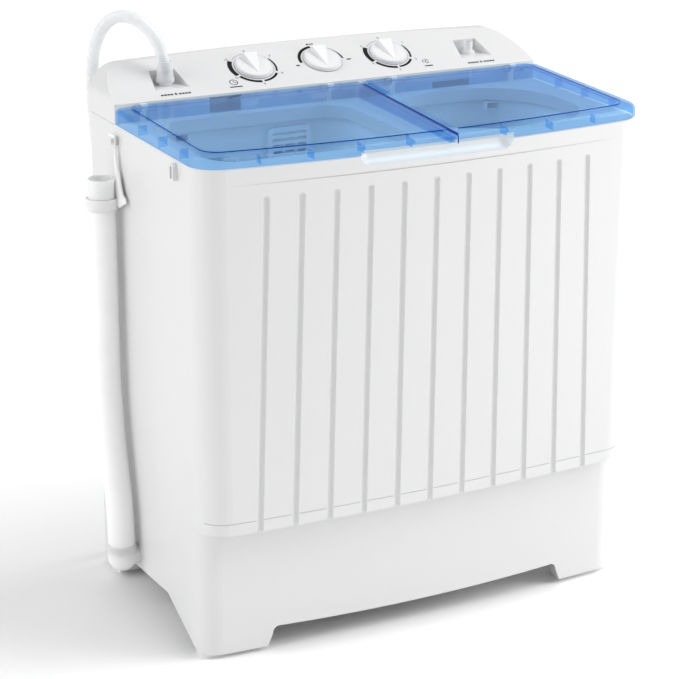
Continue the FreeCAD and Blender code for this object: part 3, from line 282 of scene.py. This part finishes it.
SLOTS = {
    "white_plastic": plastic("white_plastic", (0.71, 0.71, 0.715), rough=0.30, swing=0.04, tint=0.992,
                             relief=0.04, Coat_Weight=0.15, Coat_Roughness=0.2),
    "deck_plastic": plastic("deck_plastic", (0.91, 0.93, 0.95), rough=0.36, swing=0.08, tint=0.98),
    "blue_lid": lid_plastic("blue_lid"),
    "dial_plastic": plastic("dial_plastic", (0.77, 0.77, 0.78), rough=0.34, swing=0.04, tint=0.99,
                            mottle=60.0),
    "pad_rubber": plastic("pad_rubber", (0.72, 0.72, 0.72), rough=0.6, swing=0.1, tint=0.95, grain=900.0,
                          relief=0.2),
    "rubber": plastic("rubber", (0.045, 0.045, 0.047), rough=0.72, swing=0.16, tint=0.7, grain=900.0,
                      relief=0.3),
    "steel": metal("steel", (0.66, 0.66, 0.65), rough=0.33, stretch=(1.0, 1.0, 14.0)),
    "motor_metal": metal("motor_metal", (0.16, 0.17, 0.19), rough=0.48, stretch=(3.0, 3.0, 1.0), relief=0.3,
                         metallic=0.35),
    "pulley_metal": metal("pulley_metal", (0.70, 0.70, 0.71), rough=0.40, stretch=(1.0, 1.0, 6.0),
                          relief=0.25),
    "pulley_plastic": plastic("pulley_plastic", (0.085, 0.085, 0.09), rough=0.5, tint=0.8, relief=0.2),
    "basket_plastic": plastic("basket_plastic", (0.74, 0.77, 0.80), rough=0.34, tint=0.95),
    "grey_plastic": plastic("grey_plastic", (0.52, 0.53, 0.55), rough=0.5, swing=0.08, tint=0.98, relief=0.3),
    "dark_plastic": plastic("dark_plastic", (0.035, 0.036, 0.04), rough=0.45, tint=0.75, relief=0.15),
    "nozzle_plastic": plastic("nozzle_plastic", (0.76, 0.77, 0.78), rough=0.33, tint=0.95, mottle=80.0),
    "hose_white": plastic("hose_white", (0.93, 0.93, 0.93), rough=0.38, swing=0.10, tint=0.97, mottle=30.0,
                          relief=0.12, Subsurface_Weight=0.5, Subsurface_Radius=(1.0, 1.0, 1.0),
                          Subsurface_Scale=0.012),
    "hose_clear": clear_vinyl("hose_clear", (0.90, 0.91, 0.92), see_through=0.45),
    "connector_plastic": plastic("connector_plastic", (0.05, 0.14, 0.40), rough=0.4, tint=0.85, mottle=80.0),
}
INK = plastic("black_ink", (0.008, 0.008, 0.009), rough=0.5, tint=0.7, mottle=200.0, grain=3000.0,
              Specular_IOR_Level=0.15)
# Grey for print, for the side seam, and for painted shade in the dials' grooves.
GREY_INK_AND_SHADE = plastic("grey_ink_and_shade", (0.33, 0.33, 0.34), rough=0.45, tint=0.9, mottle=200.0, grain=3000.0)
# Dark blue for painted shade along the lids' clear edges.
EDGE_SHADE_PAINT = plastic("lid_edge_painted_shade", (0.002, 0.035, 0.30), rough=0.25, tint=0.85, mottle=40.0,
                   Specular_IOR_Level=0.2)


def paint(obj, material):
    obj.data.materials.clear()
    obj.data.materials.append(material)


for row in RECORD["subparts"]:
    paint(NODES[row["node"]], SLOTS[row["material_slot"]])
inlet.data.materials.append(SLOTS["hose_clear"])
drain.data.materials.append(SLOTS["hose_white"])


def add_piece(name, vertices, faces, material, body="cabinet"):
    mesh = bpy.data.meshes.new(name)
    mesh.from_pydata([tuple(v) for v in vertices], [], faces)
    mesh.validate()
    mesh.update()
    piece = bpy.data.objects.new(name, mesh)
    COLLECTION.objects.link(piece)
    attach(piece, body)
    paint(piece, material)


# ---------------------------------------------------------------- graphics on the console, and painted shade in the dials' grooves

LIP_Y, LIP_Z = 0.092, 0.645
CREST_Y, CREST_Z = 0.177, 0.6835
SLOPE = math.atan2(CREST_Z - LIP_Z, CREST_Y - LIP_Y)
UP = Vector((0, math.cos(SLOPE), math.sin(SLOPE)))
OUT = Vector((0, -math.sin(SLOPE), math.cos(SLOPE)))
INK_LIFT = 0.00015

# Round the dials: radii, and angles in degrees anticlockwise from +X.
DIAL_UP = 0.046
WASH_DIAL, SELECTOR_DIAL, SPIN_DIAL = -0.092, 0.005, 0.1015
BAND_IN = 0.0283
TIMER_BANDS = ((148, 206, 0.0343), (212, 268, 0.0327), (274, 326, 0.0315), (335, 390, 0.0308))
TICK_IN, TICK_OUT, TICK_ANGLES = 0.0284, 0.0297, (396, 403, 410, 417)
TICK_TURN = 5
LABEL_ANGLES = (146, 211, 270, 331, 394)
SELECTOR_BANDS = ((98, 182, 0.0324), (0, 54, 0.0306))
SELECTOR_WORDS = ((-0.0400, -0.0350, -0.0062, 0.0022), (-0.0032, 0.0025, 0.0358, 0.0020),
                  (0.0335, 0.0395, -0.0035, 0.0022))
SELECTOR_DROP = (-0.0060, 0.0355, 0.0016)
LABEL_WIDE, LABEL_HIGH, LABEL_SIZE = 0.0368, 0.0362, 0.0052
ZERO_AT = (0.0005, 0.0345)
ZERO_ARC = (0.0292, 0.0299, 98, 142)
# A ring of painted shade in the groove round each dial's disc.
GROOVE_SHADE_RING = (0.0254, 0.0259, 0, 360)

# Icons and stand-ins for printed words, in (u, v) on the face.
CLOCK, WHIRL = (-0.1312, 0.0193), (0.1445, 0.0215)
CLOCK_HAND, WORD_BAR = 0.0008, 0.0020
INLETS, INLET_WORD_UP = (-0.2137, 0.2216), 0.0080
LETTER_START, LETTER_STEP, LETTER, LETTER_HIGH = 0.0040, 0.0042, 0.0032, 0.0027
DROP_SIDES = 20


def on_face(u, v):
    """Point just off the sloping face: u along X, v up the slope from its front edge."""
    return Vector((u, LIP_Y, LIP_Z)) + UP * v + OUT * INK_LIFT


class Print:
    """Flat marks on the sloping face, gathered into one mesh."""

    def __init__(self):
        self.vertices, self.faces = [], []

    def strip(self, left, right):
        """A band between two rows of (u, v) points."""
        start = len(self.vertices)
        for a, b in zip(left, right):
            self.vertices += [on_face(*a), on_face(*b)]
        for i in range(len(left) - 1):
            a = start + 2 * i
            self.faces.append((a, a + 1, a + 3, a + 2))

    def arc(self, u, v, r0, r1, start, end):
        """A band of a ring; its ends in degrees, anticlockwise from +X."""
        n = max(4, int(abs(end - start) / 4))
        turns = [math.radians(start + (end - start) * i / n) for i in range(n + 1)]
        self.strip([(u + r1 * math.cos(t), v + r1 * math.sin(t)) for t in turns],
                   [(u + r0 * math.cos(t), v + r0 * math.sin(t)) for t in turns])

    def bar(self, u0, v0, u1, v1, width):
        along = Vector((u1 - u0, v1 - v0))
        side = Vector((-along.y, along.x)).normalized() * (width / 2)
        self.strip([(u0 + side.x, v0 + side.y), (u1 + side.x, v1 + side.y)],
                   [(u0 - side.x, v0 - side.y), (u1 - side.x, v1 - side.y)])

    def drop(self, u, v, r):
        """A water drop: a circle of radius r, narrower and drawn to a point upwards."""
        start = len(self.vertices)
        for i in range(DROP_SIDES):
            t = 2 * math.pi * i / DROP_SIDES
            rise = max(0.0, math.sin(t))
            wide, high = 1.0 - 0.35 * rise, 1.0 + 0.9 * rise ** 6
            self.vertices.append(on_face(u + r * math.cos(t) * wide, v + r * math.sin(t) * high))
        self.faces.append(tuple(range(start, start + DROP_SIDES)))

    def digits(self, text, u, v):
        """A number, centred on (u, v)."""
        data = bpy.data.curves.new("digits", "FONT")
        data.body = text
        data.size = LABEL_SIZE
        data.align_x, data.align_y = "CENTER", "CENTER"
        holder = bpy.data.objects.new("digits", data)
        COLLECTION.objects.link(holder)
        bpy.context.view_layer.update()
        mesh = bpy.data.meshes.new_from_object(holder.evaluated_get(bpy.context.evaluated_depsgraph_get()))
        start = len(self.vertices)
        self.vertices += [on_face(u + p.co.x, v + p.co.y) for p in mesh.vertices]
        self.faces += [tuple(start + i for i in f.vertices) for f in mesh.polygons]
        bpy.data.objects.remove(holder)
        bpy.data.meshes.remove(mesh)
        bpy.data.curves.remove(data)

    def save(self, name, material):
        add_piece(name, self.vertices, self.faces, material)


def grey_arcs_and_groove_shade(name, u, rings):
    """Thin grey arcs round a dial, printed, or painted as shade in the groove round the dial's disc: inner
    and outer radius, start and end.
    """
    p = Print()
    for ring in rings:
        p.arc(u, DIAL_UP, *ring)
    p.save(name, GREY_INK_AND_SHADE)


def timer_print(name, u, numbers):
    """A timer's scale: bands that narrow as the time runs, and numbers at their joints."""
    p = Print()
    for start, end, r in TIMER_BANDS:
        p.arc(u, DIAL_UP, BAND_IN, r, start, end)
    for angle in TICK_ANGLES:
        p.arc(u, DIAL_UP, TICK_IN, TICK_OUT, angle, angle + TICK_TURN)
    for number, angle in zip(numbers, LABEL_ANGLES):
        t = math.radians(angle)
        p.digits(number, u + LABEL_WIDE * math.cos(t), DIAL_UP + LABEL_HIGH * math.sin(t))
    p.digits("0", u + ZERO_AT[0], DIAL_UP + ZERO_AT[1])
    p.save(name, INK)
    # A printed grey arc at the zero, and a ring of painted shade in the dial's groove.
    grey_arcs_and_groove_shade(name + "_arcs_with_groove_shade", u, (ZERO_ARC, GROOVE_SHADE_RING))


def selector_print(name, u):
    """The selector's scale: two bands, a bar for each of three words and a drop."""
    p = Print()
    for start, end, r in SELECTOR_BANDS:
        p.arc(u, DIAL_UP, BAND_IN, r, start, end)
    for left, right, up, thick in SELECTOR_WORDS:
        p.bar(u + left, DIAL_UP + up, u + right, DIAL_UP + up, thick)
    aside, up, r = SELECTOR_DROP
    p.drop(u + aside, DIAL_UP + up, r)
    p.save(name, INK)
    # A ring of painted shade in the dial's groove.
    grey_arcs_and_groove_shade(name + "_arcs_with_groove_shade", u, (GROOVE_SHADE_RING,))


def icons_print():
    """A clock beside the wash timer, a whirl beside the spin timer and drops under the inlets."""
    p = Print()
    u, v = CLOCK
    p.arc(u, v, 0.0046, 0.0056, 0, 360)
    p.bar(u, v - 0.0003, u, v + 0.0035, CLOCK_HAND)
    p.bar(u - 0.0002, v, u + 0.0030, v - 0.0015, CLOCK_HAND)
    p.bar(u - 0.0088, v - 0.0095, u + 0.0087, v - 0.0095, WORD_BAR)
    u, v = WHIRL
    for turn in (0, 120, 240):
        p.arc(u, v, 0.0036, 0.0046, turn + 10, turn + 100)
    p.arc(u, v, 0.0, 0.0013, 0, 360)
    p.bar(u - 0.0060, v - 0.0100, u + 0.0060, v - 0.0100, WORD_BAR)
    for u in INLETS:
        p.drop(u, INLET_WORD_UP, 0.0017)
        for side in (-1, 1):
            for k in range(4):
                a = u + side * (LETTER_START + LETTER_STEP * k)
                p.bar(a, INLET_WORD_UP, a + side * LETTER, INLET_WORD_UP, LETTER_HIGH)
    p.save("console_icons", INK)


timer_print("wash_timer_scale", WASH_DIAL, ("15", "12", "9", "6", "3"))
timer_print("spin_timer_scale", SPIN_DIAL, ("5", "4", "3", "2", "1"))
selector_print("selector_scale", SELECTOR_DIAL)
icons_print()


# ---------------------------------------------------------------- painted shade lines on the lids' edges, and the side seam

LID_HALF, LID_BACK, LID_FRONT, LID_BOW = 0.300, 0.0905, -0.185, 0.020
LID_SHOULDER, LID_RISE = 0.6355, 0.0065
PLATEAU_IN, PLATEAU_R = 0.017, 0.022
SPLIT_FRONT, SPLIT_BACK = 0.022, 0.035

# The plateau's painted shade line: off its edge, and from low to high above the shoulder.
LINE_OFF, LINE_LOW, LINE_HIGH = 0.00015, 0.0003, 0.0016
SIDE_START, SIDE_STEP, SIDE_POINTS = 0.020, 0.010, 19
CORNER_STEPS, FRONT_STEPS = 8, 24
PLATEAU_GAP = 0.010

# The split's painted shade line: rows from back to front, then each edge's place off the split and below the
# shoulder.
SPLIT_ROWS = [LID_BACK - 0.010 - 0.0262 * k for k in range(11)]
SPLIT_EDGES = ((0.0012, 0.0034), (0.0035, 0.0009))
SPLIT_END = ((-0.1838, 0.6325), (-0.18492, 0.6290), (-0.18492, 0.6232))
SPLIT_END_LEFT, SPLIT_END_RIGHT = 0.0010, 0.0026

SEAM_HALF, SEAM_BACK = 0.29803, 0.175
SEAM_LOW, SEAM_HIGH = 0.6197, 0.6203


def depth_share(y):
    """0 at the lids' front edge, 1 at their back edge."""
    return (y - LID_FRONT) / (LID_BACK - LID_FRONT)


def lid_height(y):
    """Height of the lids' shoulder at y."""
    return LID_SHOULDER + LID_RISE * depth_share(y)


def split_x(y):
    """Where the two lids meet, at y."""
    return SPLIT_FRONT + (SPLIT_BACK - SPLIT_FRONT) * depth_share(y)


def painted_shade_ribbon(name, left, right, body):
    """A narrow strip between two rows of points, in dark blue as painted shade on a lid's clear edge."""
    vertices = [point for pair in zip(left, right) for point in pair]
    faces = [(2 * i, 2 * i + 1, 2 * i + 3, 2 * i + 2) for i in range(len(left) - 1)]
    add_piece(name, vertices, faces, EDGE_SHADE_PAINT, body)


def plateau_edge(side):
    """Plan points just off a plateau's edge: down its outer side, round the corner, along the front."""
    half, front = LID_HALF - PLATEAU_IN + LINE_OFF, LID_FRONT + PLATEAU_IN - LINE_OFF
    bow_r = (half ** 2 + LID_BOW ** 2) / (2 * LID_BOW)
    bow_y = front + bow_r
    corner_r = PLATEAU_R + LINE_OFF
    corner_x = half - corner_r
    corner_y = bow_y - math.sqrt((bow_r - corner_r) ** 2 - corner_x ** 2)
    points = [(side * half, LID_BACK - SIDE_START - SIDE_STEP * k) for k in range(SIDE_POINTS)]
    turn = math.atan2(bow_y - corner_y, corner_x)
    for k in range(CORNER_STEPS + 1):
        t = turn * k / CORNER_STEPS
        points.append((side * (corner_x + corner_r * math.cos(t)), corner_y - corner_r * math.sin(t)))
    start = side * bow_r * math.cos(turn)
    stop = split_x(LID_FRONT + LID_BOW) + side * PLATEAU_GAP
    for k in range(1, FRONT_STEPS + 1):
        x = start + (stop - start) * k / FRONT_STEPS
        points.append((x, bow_y - math.sqrt(bow_r ** 2 - x ** 2)))
    return points


def add_plateau_edge_shade(name, side, body):
    """A dark blue line of painted shade round the plateau's upright edge."""
    low, high = [[(x, y, lid_height(y) + up) for x, y in plateau_edge(side)] for up in (LINE_LOW, LINE_HIGH)]
    painted_shade_ribbon(name, low, high, body)


def add_split_edge_shade(name, body):
    """The dark line of painted shade on the spin lid's rounded edge at the split, from its back to its front
    and down.
    """
    left, right = [[(split_x(y) + off, y, lid_height(y) - drop) for y in SPLIT_ROWS]
                   for off, drop in SPLIT_EDGES]
    for y, z in SPLIT_END:
        left.append((split_x(y) + SPLIT_END_LEFT, y, z))
        right.append((split_x(y) + SPLIT_END_RIGHT, y, z))
    painted_shade_ribbon(name, left, right, body)


def add_seam(name):
    """The line between console and cabinet on both sides."""
    vertices, faces = [], []
    for x in (-SEAM_HALF, SEAM_HALF):
        start = len(vertices)
        vertices += [(x, y, z) for y in (LIP_Y, SEAM_BACK) for z in (SEAM_LOW, SEAM_HIGH)]
        faces.append((start, start + 1, start + 3, start + 2))
    add_piece(name, vertices, faces, GREY_INK_AND_SHADE)


# Painted shade lines along the lids' plateau edges and along the split.
add_plateau_edge_shade("wash_lid_plateau_edge_shade", -1, "wash_lid_body")
add_plateau_edge_shade("spin_lid_plateau_edge_shade", 1, "spin_lid_body")
add_split_edge_shade("spin_lid_split_edge_shade", "spin_lid_body")
add_seam("console_seam")


# ---------------------------------------------------------------- floor and light

FLOOR_HALF = 14.0


def add_floor():
    h = FLOOR_HALF
    mesh = bpy.data.meshes.new("floor")
    mesh.from_pydata([(-h, -h, 0), (h, -h, 0), (h, h, 0), (-h, h, 0)], [], [(0, 1, 2, 3)])
    floor = bpy.data.objects.new("floor", mesh)
    COLLECTION.objects.link(floor)
    floor.data.materials.append(plastic("floor_paint", (0.95, 0.95, 0.95), rough=0.7, tint=0.995, mottle=2.0))


def add_light(data, towards, at=(0.0, 0.0, 0.0)):
    """A light that shines against the direction towards."""
    light = bpy.data.objects.new(data.name, data)
    light.location = at
    light.rotation_mode = "QUATERNION"
    light.rotation_quaternion = Vector(towards).to_track_quat("Z", "Y")
    COLLECTION.objects.link(light)


def add_sun(name, towards, strength, angle):
    data = bpy.data.lights.new(name, "SUN")
    data.energy = strength
    data.angle = math.radians(angle)
    add_light(data, towards)


def add_panel(name, at, aim, size, power):
    data = bpy.data.lights.new(name, "AREA")
    data.shape = "SQUARE"
    data.size = size
    data.energy = power
    add_light(data, Vector(at) - Vector(aim), at)


def add_world(strength):
    world = bpy.data.worlds.new("studio")
    world.use_nodes = True
    background = world.node_tree.nodes["Background"]
    background.inputs["Color"].default_value = (1.0, 1.0, 1.0, 1.0)
    background.inputs["Strength"].default_value = strength
    bpy.context.scene.world = world


add_floor()
add_world(strength=0.55)
add_sun("key", towards=(0.60, -0.20, 0.80), strength=1.60, angle=45)
add_sun("left_fill", towards=(-0.85, 0.15, 0.50), strength=1.30, angle=50)
add_panel("right_panel", at=(1.7, -1.1, 0.9), aim=(0.1, 0.0, 0.4), size=0.8, power=14.0)
bpy.context.scene.view_settings.view_transform = "Standard"
